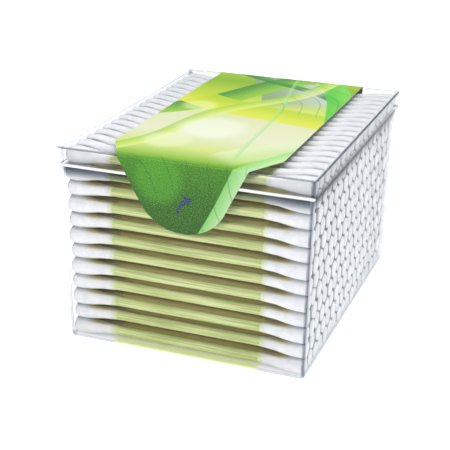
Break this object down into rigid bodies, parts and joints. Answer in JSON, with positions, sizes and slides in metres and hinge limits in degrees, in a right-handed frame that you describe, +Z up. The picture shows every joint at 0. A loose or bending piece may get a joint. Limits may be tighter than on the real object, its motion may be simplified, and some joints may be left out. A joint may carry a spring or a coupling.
{
  "type": "cotton swab box",
  "caption": "Clear plastic box packed full of cotton swabs in nested rows, with a shallow lid that folds back on a printed film label.",
  "frame": {"origin": "middle of the underside of the tub", "axes": "+Z up, -Y towards the front with the label's tongue, +X to the right; the swabs lie along X"},
  "size_m": [0.0778, 0.1012, 0.0612],
  "materials": {
    "clear_plastic": "clear, glossy, injection moulded",
    "printed_film": "printed in fields of green and yellow, satin",
    "stick_plastic": "light green, satin",
    "cotton": "white wound cotton"
  },
  "bodies": {
    "tub_with_swabs": {"tub": "clear_plastic", "label_back": "printed_film", "swab_sticks_row_01": "stick_plastic", "cotton_tips_left_row_01": "cotton", "cotton_tips_right_row_01": "cotton", "swab_sticks_row_02": "stick_plastic", "cotton_tips_left_row_02": "cotton", "cotton_tips_right_row_02": "cotton", "swab_sticks_row_03": "stick_plastic", "cotton_tips_left_row_03": "cotton", "cotton_tips_right_row_03": "cotton", "swab_sticks_row_04": "stick_plastic", "cotton_tips_left_row_04": "cotton", "cotton_tips_right_row_04": "cotton", "swab_sticks_row_05": "stick_plastic", "cotton_tips_left_row_05": "cotton", "cotton_tips_right_row_05": "cotton", "swab_sticks_row_06": "stick_plastic", "cotton_tips_left_row_06": "cotton", "cotton_tips_right_row_06": "cotton", "swab_sticks_row_07": "stick_plastic", "cotton_tips_left_row_07": "cotton", "cotton_tips_right_row_07": "cotton", "swab_sticks_row_08": "stick_plastic", "cotton_tips_left_row_08": "cotton", "cotton_tips_right_row_08": "cotton", "swab_sticks_row_09": "stick_plastic", "cotton_tips_left_row_09": "cotton", "cotton_tips_right_row_09": "cotton", "swab_sticks_row_10": "stick_plastic", "cotton_tips_left_row_10": "cotton", "cotton_tips_right_row_10": "cotton", "swab_sticks_row_11": "stick_plastic", "cotton_tips_left_row_11": "cotton", "cotton_tips_right_row_11": "cotton", "swab_sticks_row_12": "stick_plastic", "cotton_tips_left_row_12": "cotton", "cotton_tips_right_row_12": "cotton"},
    "lid_with_label": {"lid": "clear_plastic", "label_lid": "printed_film"}
  },
  "joints": [
    {"name": "lid_hinge", "type": "hinge", "parent": "tub_with_swabs", "child": "lid_with_label", "pos_m": [0, 0.05019, 0.05425], "axis": [-1, 0, 0], "range_deg": [0, 180]}
  ]
}
